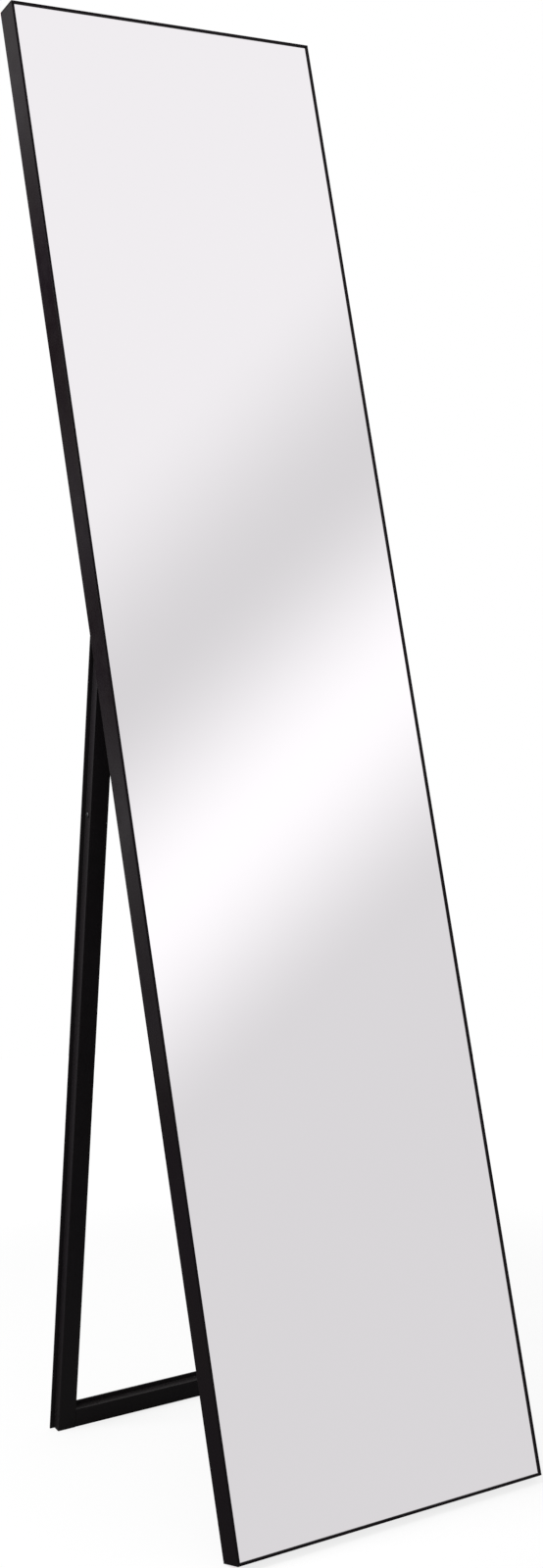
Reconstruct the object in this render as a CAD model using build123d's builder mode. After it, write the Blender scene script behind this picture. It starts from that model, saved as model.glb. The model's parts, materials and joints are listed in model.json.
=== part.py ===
from build123d import *
import os
from math import atan2, cos, degrees, radians, sin

# A full-length mirror on a fold-out stand. Millimetres, +Z up, the viewer at -Y.
# The origin is on the floor, under the middle of the standing mirror's box.

# Frame, overall
frame_width = 350.0
frame_height = 1500.0
frame_depth = 26.0

# Rail section: outer wall, front lip, shelf behind the glass, rear channel
rail_wall = 1.6
rail_width = 11.0
lip_width = 2.7
lip_thickness = 1.3
arris_radius = 0.4
shelf_thickness = 1.2
web_thickness = 1.4
hook_thickness = 1.4
hook_reach = 2.2
seam_gap = 0.15

# What lies in the frame, from the front
glass_thickness = 3.0
film_thickness = 0.3
film_margin = 1.0
tape_thickness = 1.0
tape_width = 25.0
tape_count = 3
board_thickness = 3.0
board_gap = 0.2
board_side_gap = 0.6
edge_pad_thickness = 0.4
edge_pad_length = 40.0
edge_pad_setback = 90.0

# Corner connectors in the rear channels
connector_arm = 50.0
connector_clearance = 0.1
connector_screw_setback = 36.0

# Stand section: a rectangular tube with a flange along one rear edge
leg_width = 20.0
leg_depth = 10.0
tube_wall = 1.2
tube_radius = 0.8
flange_width = 5.0
flange_thickness = 1.5
flange_root_radius = 0.6

# Stand, and how it opens
leg_length = 809.0
pivot_height = 838.0
opening_angle = 23.6
fold_clearance = 0.3
heel_clearance = 0.3

# Hinge bracket of bent sheet
bracket_thickness = 2.0
bracket_length = 64.0
bracket_front_gap = 2.0
bracket_rear_gap = 3.0
bracket_screw_spacing = 44.0
ear_radius = 5.0
ear_base = 30.0
bend_radius = 1.0

# Pivot screw and washer
pivot_radius = 2.5
pivot_running_clearance = 0.05
pivot_play = 0.15
pivot_head_radius = 4.5
pivot_head_height = 2.6
pivot_socket_radius = 1.5
pivot_thread_length = 10.0
washer_radius = 5.0
washer_thickness = 0.5

# Hinge block in the top of each leg, and keys in the stand's bottom corners
block_clearance = 0.15
block_length = 165.0
block_top_gap = 0.5
block_screw_drop = 151.0
key_arm = 60.0
key_screw_setback = 44.0

# Small pan-head screws
screw_radius = 1.75
screw_clearance = 0.05
screw_head_radius = 2.8
screw_head_height = 1.6
screw_head_round = 0.7
screw_length = 9.0
recess_length = 3.2
recess_width = 0.8
recess_depth = 0.9

# Stand geometry: the stand opens about the pivot until the legs' heels meet the frame's back
half_depth = leg_depth / 2
pivot_offset = half_depth + fold_clearance
opening = radians(opening_angle)
foot_back = pivot_offset + leg_length * sin(opening) - half_depth * cos(opening)
foot_up = pivot_height - leg_length * cos(opening) - half_depth * sin(opening)
lean = atan2(foot_up, foot_back)
leg_lean = opening - lean

# Directions: across both, along and behind the mirror, along and behind the stand
across = Vector(1, 0, 0)
mirror_up = Vector(0, sin(lean), cos(lean))
mirror_back = Vector(0, cos(lean), -sin(lean))
stand_up = Vector(0, -sin(leg_lean), cos(leg_lean))
stand_back = Vector(0, cos(leg_lean), sin(leg_lean))
frame_foot = Vector(0, (frame_depth * cos(lean) - frame_height * sin(lean)) / 2, 0)
half_width = frame_width / 2


def mirror_point(x, height, depth):
    """A point of the mirror: height along it, depth behind its front face."""
    return frame_foot + across * x + mirror_up * height + mirror_back * (depth - frame_depth)


pivot = mirror_point(0, pivot_height, frame_depth + pivot_offset)


def stand_point(x, height, depth):
    """A point of the stand: height above the pivot along a leg, depth behind the leg's middle."""
    return pivot + across * x + stand_up * height + stand_back * depth


def mirror_layer(depth):
    """The plane at a depth behind the frame's front face, seen from the front."""
    return Plane(origin=mirror_point(0, 0, depth), x_dir=across, z_dir=-mirror_back)


def stand_layer(depth):
    """The plane at a depth behind the legs' middle, seen from the front."""
    return Plane(origin=stand_point(0, 0, depth), x_dir=across, z_dir=-stand_back)


def disc(plane, radius):
    """A circle on a plane, to extrude."""
    with BuildSketch(plane) as sketch:
        Circle(radius)
    return sketch.sketch


def panel(plane, width, low, high):
    """A rectangle on a plane, centred across and spanning two heights, to extrude."""
    with BuildSketch(plane) as sketch:
        with Locations((0, low)):
            Rectangle(width, high - low, align=(Align.CENTER, Align.MIN))
    return sketch.sketch


def screw(plane, length=screw_length):
    """A pan-head screw with a cross recess, its head on the plane."""
    with BuildPart() as piece:
        extrude(disc(plane, screw_head_radius), amount=screw_head_height)
        fillet(piece.faces().sort_by(Axis(plane.origin, plane.z_dir))[-1].edges(), screw_head_round)
        extrude(disc(plane, screw_radius), amount=-length)
        with BuildSketch(plane.offset(screw_head_height)):
            Rectangle(recess_length, recess_width)
            Rectangle(recess_width, recess_length)
        extrude(amount=-recess_depth, mode=Mode.SUBTRACT)
    return piece.part


# Depths in the frame, from its front face
glass_front = lip_thickness
film_front = glass_front + glass_thickness
tape_front = film_front + film_thickness
board_front = tape_front + tape_thickness
shelf_front = board_front + board_thickness + board_gap
channel_front = shelf_front + shelf_thickness
channel_back = frame_depth - hook_thickness
channel_middle = (channel_front + channel_back) / 2
channel_inside = rail_width - web_thickness

# Places of the screws that hold the connectors and the brackets, along a side rail
connector_heights = (connector_screw_setback, frame_height - connector_screw_setback)
bracket_heights = (
    pivot_height - bracket_screw_spacing / 2,
    pivot_height + bracket_screw_spacing / 2,
)
web_face = half_width - rail_width
bracket_face = web_face - bracket_thickness
bracket_front = channel_front + bracket_front_gap
bracket_back = frame_depth - bracket_rear_gap
bracket_screw_depth = (bracket_front + bracket_back - bracket_thickness) / 2


def rail(corner, inward, along, length, wall_end, lip_end, channel_end):
    """A rail from one outer front corner: its wall, lip and channel each stop short of the ends."""
    start = Plane(origin=corner, x_dir=inward, z_dir=along)
    corner_align = (Align.MIN, Align.MIN)
    with BuildPart() as piece:
        with BuildSketch(start.offset(wall_end)):
            with Locations((0, lip_thickness)):
                Rectangle(rail_wall, frame_depth - lip_thickness, align=corner_align)
        extrude(amount=length - 2 * wall_end)
        with BuildSketch(start.offset(lip_end)) as lip:
            Rectangle(lip_width, lip_thickness, align=corner_align)
            fillet(lip.vertices().sort_by_distance((0, 0))[0], arris_radius)
        extrude(amount=length - 2 * lip_end)
        with BuildSketch(start.offset(channel_end)):
            with Locations((0, shelf_front)):
                Rectangle(rail_width, shelf_thickness, align=corner_align)
            with Locations((channel_inside, shelf_front)):
                Rectangle(web_thickness, frame_depth - shelf_front, align=corner_align)
            with Locations((0, channel_back)):
                Rectangle(rail_wall + hook_reach, hook_thickness, align=corner_align)
            with Locations((channel_inside - hook_reach, channel_back)):
                Rectangle(web_thickness + hook_reach, hook_thickness, align=corner_align)
        extrude(amount=length - 2 * channel_end)
    return piece.part


# The top and bottom rails run the full width, and the side rails stand between their walls
with BuildPart() as frame_top_rail:
    top_corner = mirror_point(-half_width, frame_height, 0)
    add(rail(top_corner, -mirror_up, across, frame_width, 0, 0, rail_width + seam_gap))
    for side in (-1, 1):
        place = mirror_point(side * (half_width - connector_screw_setback),
                             frame_height - rail_width, channel_middle)
        hole = disc(Plane(origin=place, z_dir=mirror_up), screw_radius + screw_clearance)
        extrude(hole, amount=web_thickness, mode=Mode.SUBTRACT)

with BuildPart() as frame_bottom_rail:
    bottom_corner = mirror_point(half_width, 0, 0)
    add(rail(bottom_corner, mirror_up, -across, frame_width, 0, 0, rail_width + seam_gap))
    for side in (-1, 1):
        place = mirror_point(side * (half_width - connector_screw_setback), rail_width, channel_middle)
        hole = disc(Plane(origin=place, z_dir=-mirror_up), screw_radius + screw_clearance)
        extrude(hole, amount=web_thickness, mode=Mode.SUBTRACT)

with BuildPart() as frame_left_rail:
    left_corner = mirror_point(-half_width, 0, 0)
    side_end = rail_wall + seam_gap
    add(rail(left_corner, across, mirror_up, frame_height, side_end, lip_width + seam_gap, side_end))
    for end, direction in ((0, mirror_up), (frame_height, -mirror_up)):
        # the web is open at each end, so that the connector passes into the next rail
        window = Plane(origin=mirror_point(-web_face, end, channel_middle), x_dir=-across, z_dir=direction)
        with BuildSketch(window):
            Rectangle(web_thickness, channel_back - channel_front, align=(Align.MIN, Align.CENTER))
        extrude(amount=channel_inside, mode=Mode.SUBTRACT)
    for height in connector_heights:
        hole = Plane(origin=mirror_point(-web_face, height, channel_middle), z_dir=-across)
        extrude(disc(hole, screw_radius + screw_clearance), amount=web_thickness, mode=Mode.SUBTRACT)
    for height in bracket_heights:
        hole = Plane(origin=mirror_point(-web_face, height, bracket_screw_depth), z_dir=-across)
        extrude(disc(hole, screw_radius + screw_clearance), amount=web_thickness, mode=Mode.SUBTRACT)

with BuildPart() as frame_right_rail:
    mirror(frame_left_rail.part, about=Plane.YZ)

# Corner connectors: an L that fills the channels of two rails
arm_inner = half_width - channel_inside + connector_clearance
arm_outer = half_width - rail_wall - connector_clearance
arm_top = frame_height - rail_wall - connector_clearance
arm_section = arm_outer - arm_inner

with BuildPart() as corner_connector_top_left:
    with BuildSketch(mirror_layer(channel_front + connector_clearance)):
        with Locations((-arm_outer, arm_top)):
            Rectangle(arm_section, connector_arm, align=(Align.MIN, Align.MAX))
            Rectangle(connector_arm, arm_section, align=(Align.MIN, Align.MAX))
    extrude(amount=-(channel_back - channel_front - 2 * connector_clearance))
    rail_hole = mirror_point(-arm_inner, connector_heights[1], channel_middle)
    extrude(disc(Plane(origin=rail_hole, z_dir=-across), screw_radius + screw_clearance),
            amount=arm_section, mode=Mode.SUBTRACT)
    top_hole = mirror_point(connector_screw_setback - half_width, arm_top - arm_section, channel_middle)
    extrude(disc(Plane(origin=top_hole, z_dir=mirror_up), screw_radius + screw_clearance),
            amount=arm_section, mode=Mode.SUBTRACT)

with BuildPart() as corner_connector_top_right:
    mirror(corner_connector_top_left.part, about=Plane.YZ)

mirror_middle = Plane(origin=mirror_point(0, frame_height / 2, 0), z_dir=mirror_up)

with BuildPart() as corner_connector_bottom_left:
    mirror(corner_connector_top_left.part, about=mirror_middle)

with BuildPart() as corner_connector_bottom_right:
    mirror(corner_connector_top_right.part, about=mirror_middle)

connector_screw_length = web_thickness + connector_clearance + arm_section / 2

with BuildPart() as connector_screws:
    for side in (-1, 1):
        for height in connector_heights:
            place = mirror_point(side * web_face, height, channel_middle)
            add(screw(Plane(origin=place, z_dir=across * -side), connector_screw_length))
        place = mirror_point(side * (half_width - connector_screw_setback), rail_width, channel_middle)
        add(screw(Plane(origin=place, z_dir=mirror_up), connector_screw_length))
        place = mirror_point(side * (half_width - connector_screw_setback),
                             frame_height - rail_width, channel_middle)
        add(screw(Plane(origin=place, z_dir=-mirror_up), connector_screw_length))

# Glass and what backs it
glass_edge = rail_wall + edge_pad_thickness
glass_width = frame_width - 2 * glass_edge
film_edge = glass_edge + film_margin
board_edge = rail_wall + board_side_gap
board_width = frame_width - 2 * board_edge

with BuildPart() as mirror_glass:
    extrude(panel(mirror_layer(glass_front), glass_width, glass_edge, frame_height - glass_edge),
            amount=-glass_thickness)

with BuildPart() as shatter_film:
    extrude(panel(mirror_layer(film_front), frame_width - 2 * film_edge, film_edge,
                  frame_height - film_edge), amount=-film_thickness)

with BuildPart() as bonding_tapes:
    tape_spacing = (frame_width - 2 * film_edge - tape_width) / (tape_count - 1)
    with BuildSketch(mirror_layer(tape_front)):
        with Locations((0, frame_height / 2)):
            with GridLocations(tape_spacing, 0, tape_count, 1):
                Rectangle(tape_width, frame_height - 2 * film_edge)
    extrude(amount=-tape_thickness)

with BuildPart() as back_board:
    extrude(panel(mirror_layer(board_front), board_width, board_edge, frame_height - board_edge),
            amount=-board_thickness)

# Rubber pads that keep the glass off the metal, under it, over it and beside it
with BuildPart() as glass_edge_pads:
    with BuildSketch(mirror_layer(glass_front)):
        with Locations((0, frame_height / 2)):
            with GridLocations(frame_width - 2 * edge_pad_setback,
                               frame_height - 2 * rail_wall - edge_pad_thickness, 2, 2):
                Rectangle(edge_pad_length, edge_pad_thickness)
            with GridLocations(frame_width - 2 * rail_wall - edge_pad_thickness,
                               frame_height - 2 * edge_pad_setback, 2, 2):
                Rectangle(edge_pad_thickness, edge_pad_length)
    extrude(amount=-glass_thickness)

# Hinge brackets: a foot on the side rail's web, a step inwards and an ear behind the frame
leg_outside = half_width - flange_width
leg_inside = leg_outside - leg_width
ear_outside = leg_inside - washer_thickness - pivot_play
ear_inside = ear_outside - bracket_thickness
head_seat = ear_inside - pivot_play

with BuildPart() as left_hinge_bracket:
    foot_start = mirror_point(-web_face, pivot_height - bracket_length / 2, 0)
    with BuildSketch(Plane(origin=foot_start, x_dir=across, z_dir=mirror_up)) as bent:
        with Locations((0, bracket_front)):
            Rectangle(bracket_thickness, bracket_back - bracket_front, align=(Align.MIN, Align.MIN))
        with Locations((0, bracket_back - bracket_thickness)):
            Rectangle(web_face - ear_inside, bracket_thickness, align=(Align.MIN, Align.MIN))
        fillet(bent.vertices().sort_by_distance((bracket_thickness, bracket_back - bracket_thickness))[0],
               bend_radius)
    extrude(amount=bracket_length)
    ear_face = Plane(origin=mirror_point(-ear_outside, 0, 0), x_dir=mirror_up, z_dir=across)
    ear_root = Vector(pivot_height, bracket_thickness - bracket_back)
    with BuildSketch(ear_face) as ear:
        with Locations((pivot_height, -frame_depth - pivot_offset)):
            Circle(ear_radius)
        with Locations(ear_root):
            Rectangle(ear_base, bracket_thickness, align=(Align.CENTER, Align.MAX))
        make_hull()
    extrude(amount=bracket_thickness)
    bore_start = Plane(origin=pivot - across * ear_outside, z_dir=across)
    extrude(disc(bore_start, pivot_radius + pivot_running_clearance),
            amount=bracket_thickness, mode=Mode.SUBTRACT)
    for height in bracket_heights:
        hole = Plane(origin=mirror_point(-web_face, height, bracket_screw_depth), z_dir=across)
        extrude(disc(hole, screw_radius + screw_clearance), amount=bracket_thickness, mode=Mode.SUBTRACT)

with BuildPart() as right_hinge_bracket:
    mirror(left_hinge_bracket.part, about=Plane.YZ)

with BuildPart() as bracket_screws:
    for side in (-1, 1):
        for height in bracket_heights:
            place = mirror_point(side * bracket_face, height, bracket_screw_depth)
            add(screw(Plane(origin=place, z_dir=across * -side), bracket_thickness + channel_inside / 2))


def tube_section(plane):
    """The stand's section about the tube's middle: the flange is at the rear, on the -x side."""
    with BuildSketch(plane) as section:
        RectangleRounded(leg_width, leg_depth, tube_radius)
        with Locations((-leg_width / 2 - flange_width, half_depth)):
            Rectangle(flange_width + tube_wall, flange_thickness, align=(Align.MIN, Align.MAX))
        root = (-leg_width / 2, half_depth - flange_thickness)
        fillet(section.vertices().sort_by_distance(root)[0], flange_root_radius)
        Rectangle(leg_width - 2 * tube_wall, leg_depth - 2 * tube_wall, mode=Mode.SUBTRACT)
    return section.sketch


leg_middle = leg_outside - leg_width / 2
bore_width = leg_width - 2 * tube_wall
bore_depth = leg_depth - 2 * tube_wall
heel_plane = Plane(origin=mirror_point(0, pivot_height, frame_depth + heel_clearance), z_dir=mirror_back)
heel_reach = leg_depth / sin(opening)
bar_height = leg_width / 2 - leg_length
block_screw_hole = Plane(origin=stand_point(-leg_outside, -block_screw_drop, 0), z_dir=across)
key_leg_height = key_screw_setback - leg_length
key_bar_side = leg_outside - key_screw_setback

# Legs: square at the floor, bevelled at the heel so that they lie against the frame's back
with BuildPart() as left_leg:
    leg_end = Plane(origin=stand_point(-leg_middle, -leg_length, 0), x_dir=across, z_dir=stand_up)
    extrude(tube_section(leg_end), amount=leg_length + heel_reach)
    split(bisect_by=heel_plane, keep=Keep.TOP)
    # a slot in the inner wall, up from the floor end, lets the key pass into the crossbar
    slot = Plane(origin=stand_point(-leg_inside, -leg_length, 0), x_dir=-across, z_dir=stand_up)
    with BuildSketch(slot):
        Rectangle(tube_wall, bore_depth, align=(Align.MIN, Align.CENTER))
    extrude(amount=leg_width - tube_wall, mode=Mode.SUBTRACT)
    pivot_hole = Plane(origin=pivot - across * leg_inside, z_dir=-across)
    extrude(disc(pivot_hole, pivot_radius + pivot_running_clearance), amount=tube_wall, mode=Mode.SUBTRACT)
    extrude(disc(block_screw_hole, screw_radius + screw_clearance), amount=tube_wall, mode=Mode.SUBTRACT)
    key_hole = Plane(origin=stand_point(-leg_middle, key_leg_height, half_depth), z_dir=-stand_back)
    extrude(disc(key_hole, screw_radius + screw_clearance), amount=tube_wall, mode=Mode.SUBTRACT)

with BuildPart() as right_leg:
    mirror(left_leg.part, about=Plane.YZ)

with BuildPart() as crossbar:
    bar_end = Plane(origin=stand_point(-leg_inside, bar_height, 0), x_dir=-stand_up, z_dir=across)
    extrude(tube_section(bar_end), amount=2 * leg_inside)
    for side in (-1, 1):
        hole = Plane(origin=stand_point(side * key_bar_side, bar_height, half_depth), z_dir=-stand_back)
        extrude(disc(hole, screw_radius + screw_clearance), amount=tube_wall, mode=Mode.SUBTRACT)

# Hinge blocks: a bar in the top of each leg, tapped for the pivot screw and the side screw
block_width = bore_width - 2 * block_clearance
block_depth = bore_depth - 2 * block_clearance
block_side = leg_outside - tube_wall - block_clearance
block_inside = leg_inside + tube_wall + block_clearance

with BuildPart() as left_hinge_block:
    block_end = Plane(origin=stand_point(-leg_middle, -block_length, 0), x_dir=across, z_dir=stand_up)
    with BuildSketch(block_end):
        Rectangle(block_width, block_depth)
    extrude(amount=block_length + heel_reach)
    split(bisect_by=heel_plane.offset(block_top_gap), keep=Keep.TOP)
    pivot_bore = Plane(origin=pivot - across * block_inside, z_dir=-across)
    extrude(disc(pivot_bore, pivot_radius + pivot_running_clearance),
            amount=pivot_thread_length, mode=Mode.SUBTRACT)
    side_bore = Plane(origin=stand_point(-block_side, -block_screw_drop, 0), z_dir=across)
    extrude(disc(side_bore, screw_radius + screw_clearance), amount=screw_length, mode=Mode.SUBTRACT)

with BuildPart() as right_hinge_block:
    mirror(left_hinge_block.part, about=Plane.YZ)

with BuildPart() as block_screws:
    for side in (-1, 1):
        place = stand_point(side * leg_outside, -block_screw_drop, 0)
        add(screw(Plane(origin=place, z_dir=across * side)))

# Pivot screws: a head inside the ear, and a smooth shank through ear, washer, leg and block
pivot_shank = block_inside - head_seat + pivot_thread_length

with BuildPart() as left_pivot_screw:
    seat = Plane(origin=pivot - across * head_seat, z_dir=across)
    extrude(disc(seat, pivot_head_radius), amount=pivot_head_height)
    extrude(disc(seat, pivot_radius), amount=-pivot_shank)
    with BuildSketch(seat.offset(pivot_head_height)):
        RegularPolygon(pivot_socket_radius, 6)
    extrude(amount=-pivot_head_height / 2, mode=Mode.SUBTRACT)

with BuildPart() as right_pivot_screw:
    mirror(left_pivot_screw.part, about=Plane.YZ)

with BuildPart() as pivot_washers:
    for side in (-1, 1):
        face = Plane(origin=pivot + across * side * leg_inside, z_dir=across * -side)
        extrude(disc(face, washer_radius), amount=washer_thickness)
        extrude(disc(face, pivot_radius + pivot_running_clearance),
                amount=washer_thickness, mode=Mode.SUBTRACT)

# Keys: an L in each leg, flush with its floor end, and in the end of the crossbar
key_bottom = tube_wall + block_clearance - leg_length

with BuildPart() as left_stand_key:
    with BuildSketch(stand_layer(-block_depth / 2)):
        with Locations((-block_side, -leg_length)):
            Rectangle(block_width, key_arm, align=(Align.MIN, Align.MIN))
        with Locations((-block_side, key_bottom)):
            Rectangle(key_arm, block_width, align=(Align.MIN, Align.MIN))
    extrude(amount=-block_depth)
    leg_hole = Plane(origin=stand_point(-leg_middle, key_leg_height, block_depth / 2), z_dir=-stand_back)
    extrude(disc(leg_hole, screw_radius + screw_clearance), amount=block_depth, mode=Mode.SUBTRACT)
    bar_hole = Plane(origin=stand_point(-key_bar_side, bar_height, block_depth / 2), z_dir=-stand_back)
    extrude(disc(bar_hole, screw_radius + screw_clearance), amount=block_depth, mode=Mode.SUBTRACT)

with BuildPart() as right_stand_key:
    mirror(left_stand_key.part, about=Plane.YZ)

key_screw_length = tube_wall + block_clearance + block_depth / 2

with BuildPart() as stand_key_screws:
    for side in (-1, 1):
        for x, height in ((leg_middle, key_leg_height), (key_bar_side, bar_height)):
            place = stand_point(side * x, height, half_depth)
            add(screw(Plane(origin=place, z_dir=stand_back), key_screw_length))

pieces = {
    "frame_top_rail": frame_top_rail,
    "frame_bottom_rail": frame_bottom_rail,
    "frame_left_rail": frame_left_rail,
    "frame_right_rail": frame_right_rail,
    "corner_connector_top_left": corner_connector_top_left,
    "corner_connector_top_right": corner_connector_top_right,
    "corner_connector_bottom_left": corner_connector_bottom_left,
    "corner_connector_bottom_right": corner_connector_bottom_right,
    "connector_screws": connector_screws,
    "mirror_glass": mirror_glass,
    "shatter_film": shatter_film,
    "bonding_tapes": bonding_tapes,
    "back_board": back_board,
    "glass_edge_pads": glass_edge_pads,
    "left_hinge_bracket": left_hinge_bracket,
    "right_hinge_bracket": right_hinge_bracket,
    "bracket_screws": bracket_screws,
    "left_leg": left_leg,
    "right_leg": right_leg,
    "crossbar": crossbar,
    "left_hinge_block": left_hinge_block,
    "right_hinge_block": right_hinge_block,
    "block_screws": block_screws,
    "left_pivot_screw": left_pivot_screw,
    "right_pivot_screw": right_pivot_screw,
    "pivot_washers": pivot_washers,
    "left_stand_key": left_stand_key,
    "right_stand_key": right_stand_key,
    "stand_key_screws": stand_key_screws,
}

os.makedirs("parts", exist_ok=True)
for name, piece in pieces.items():
    piece.part.label = name
    export_step(piece.part, f"parts/{name}.step")

print(f"lean {degrees(lean):.3f} degrees, leg {degrees(leg_lean):.3f} degrees from upright")
print(f"pivot at y {pivot.Y:.3f}, z {pivot.Z:.3f}; frame foot at y {frame_foot.Y:.3f}")
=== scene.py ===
import json
import math

import bmesh
import bpy
from mathutils import Matrix, Vector


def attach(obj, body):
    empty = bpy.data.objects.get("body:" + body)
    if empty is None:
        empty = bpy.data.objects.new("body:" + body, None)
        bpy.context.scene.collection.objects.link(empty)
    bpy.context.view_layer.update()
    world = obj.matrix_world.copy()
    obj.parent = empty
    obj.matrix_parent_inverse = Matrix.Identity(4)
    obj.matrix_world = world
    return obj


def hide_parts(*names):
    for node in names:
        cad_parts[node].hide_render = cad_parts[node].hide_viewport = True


# A full-length mirror on a fold-out stand, dressed over its solids. Metres, +Z up, the viewer at -Y.
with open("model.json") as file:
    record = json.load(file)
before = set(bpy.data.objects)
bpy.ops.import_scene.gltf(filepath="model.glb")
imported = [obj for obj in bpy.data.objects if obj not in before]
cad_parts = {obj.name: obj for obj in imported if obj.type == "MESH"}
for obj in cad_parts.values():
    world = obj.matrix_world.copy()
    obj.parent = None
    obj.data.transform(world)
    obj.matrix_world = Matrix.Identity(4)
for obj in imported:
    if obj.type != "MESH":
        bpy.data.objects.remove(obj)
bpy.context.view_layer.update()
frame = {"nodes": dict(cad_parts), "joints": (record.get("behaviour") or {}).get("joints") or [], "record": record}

bl_info = {
    "name": "Standing Mirror",
    "version": (1, 0, 0),
    "blender": (4, 5, 0),
    "location": "3D Viewport > Sidebar > Mirror",
    "description": "Finishes a full-length mirror's rails, glass, back, hinges and stand, and lights them",
    "category": "Add Mesh",
}

# Directions and angles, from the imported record
mounts = {mount["name"]: mount for mount in frame["record"]["mounts"]}
hinge = frame["joints"][0]
across = Vector((1, 0, 0))
mirror_back = Vector(mounts["frame_back"]["axis"])
mirror_up = Vector((0, -mirror_back.z, mirror_back.y))
fold_angle = math.radians(hinge["range_deg"][1])
unfold = Matrix.Rotation(-fold_angle, 3, Vector(hinge["axis"]))
stand_up = unfold @ mirror_up
stand_back = unfold @ mirror_back
mirror_ways = (across, mirror_up, mirror_back)
stand_ways = (across, stand_up, stand_back)
mirror_lean = math.atan2(mirror_up.y, mirror_up.z)
stand_lean = math.atan2(stand_up.y, stand_up.z)

MILLIMETRE = 0.001
WELD_DISTANCE = 0.002 * MILLIMETRE
SLIVER = 0.0005 * MILLIMETRE
FLAT_ANGLE = math.radians(0.4)
ROUND_TUBE_ANGLE = math.radians(10)
SHARP_ANGLE = math.radians(28)
CREASE_ANGLE = math.radians(50)
EDGE_MARK = "edge"

# Screws: shares of the head's or the shank's size, and how far each is turned past the last
THREAD_ROOT = 0.84
HEAD_RIM = 0.22
DOME_STEPS = 7
DOME_WIDTH_POWER = 0.55
DOME_HEIGHT_POWER = 0.9
CROSS_LENGTH = 1.15
CROSS_WIDTH = 0.3
CROSS_DEPTH = 0.56
CROSS_TAPER = 0.55
SOCKET_RADIUS = 0.36
SOCKET_EDGE = 0.14
THREADED_SHARE = 0.45
SMOOTH_SHARE = 0.42
PAN_TIP = 0.6
PIVOT_TIP = 0.8
RIM_UNDERCUT = 0.06
EDGE_CORNER = 0.3
TIP_CHAMFER = 0.5 * MILLIMETRE
NECK = 0.3 * MILLIMETRE
SCREW_TURN = math.radians(37)
WASHER_EDGE_SHARE = 0.6

# The glass's materials, by their index on its faces
SILVER, GROUND, PAINTED = 0, 1, 2


# Meshes

def merged_copy(node, flat_angle=FLAT_ANGLE):
    """A node's solid as a bmesh, with its triangles joined and its flat faces whole."""
    shell = bmesh.new()
    shell.from_mesh(frame["nodes"][node].data)
    bmesh.ops.remove_doubles(shell, verts=shell.verts, dist=WELD_DISTANCE)
    bmesh.ops.dissolve_limit(shell, angle_limit=flat_angle, verts=shell.verts, edges=shell.edges)
    return shell


def soften(shell, width, segments=2):
    """Rounds every sharp outer edge, and marks the new faces for edge wear."""
    mark = shell.faces.layers.float.new(EDGE_MARK)
    sharp = [edge for edge in shell.edges
             if edge.is_manifold and edge.is_convex and edge.calc_face_angle() > SHARP_ANGLE]
    made = bmesh.ops.bevel(shell, geom=sharp, offset=width, offset_type="OFFSET", segments=segments,
                           profile=0.5, affect="EDGES", clamp_overlap=False, material=-1)
    for face in made["faces"]:
        face[mark] = 1.0
    return shell


def finished(name, shell, materials):
    """An object from a bmesh: closed, smooth over its rounded edges, creased elsewhere."""
    bmesh.ops.dissolve_degenerate(shell, dist=SLIVER, edges=shell.edges)
    bmesh.ops.remove_doubles(shell, verts=shell.verts, dist=SLIVER)
    mesh = bpy.data.meshes.new(name)
    shell.to_mesh(mesh)
    shell.free()
    for material in materials:
        mesh.materials.append(material)
    for polygon in mesh.polygons:
        polygon.use_smooth = True
    mesh.set_sharp_from_angle(angle=CREASE_ANGLE)
    piece = bpy.data.objects.new(name, mesh)
    bpy.context.scene.collection.objects.link(piece)
    weighted = piece.modifiers.new("face_weighted_normals", "WEIGHTED_NORMAL")
    weighted.keep_sharp = True
    return piece


def fitted(piece, body, slot, *nodes):
    """Puts a piece on its body, in place of the nodes that it stands for."""
    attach(piece, body)
    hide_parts(*nodes)
    return piece


def span(points, direction):
    """The lowest and highest place of some points along a direction."""
    along = [point.dot(direction) for point in points]
    return min(along), max(along)


def corners(node):
    """A node's points."""
    return [vertex.co for vertex in frame["nodes"][node].data.vertices]


def plate(node, up, back):
    """A box with a node's extents, its own axes along the mirror or the stand."""
    spans = [span(corners(node), direction) for direction in (across, back, up)]
    middle = [(low + high) / 2 for low, high in spans]
    size = [high - low for low, high in spans]
    turn = Matrix((across, back, up)).transposed().to_4x4()
    shell = bmesh.new()
    bmesh.ops.create_cube(shell, size=1.0)
    bmesh.ops.scale(shell, verts=shell.verts, vec=size)
    bmesh.ops.translate(shell, verts=shell.verts, vec=middle)
    bmesh.ops.transform(shell, verts=shell.verts, matrix=turn)
    return shell


def islands(node):
    """The points of each separate solid in a node."""
    shell = merged_copy(node)
    left = set(shell.verts)
    found = []
    while left:
        reached = [left.pop()]
        for vertex in reached:
            for edge in vertex.link_edges:
                other = edge.other_vert(vertex)
                if other in left:
                    left.remove(other)
                    reached.append(other)
        found.append([vertex.co.copy() for vertex in reached])
    shell.free()
    return sorted(found, key=lambda points: tuple(round(value, 4) for value in points_middle(points)))


def points_middle(points):
    """The middle of the box round some points."""
    return Vector([sum(span(points, axis)) / 2 for axis in Matrix.Identity(3)])


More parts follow.
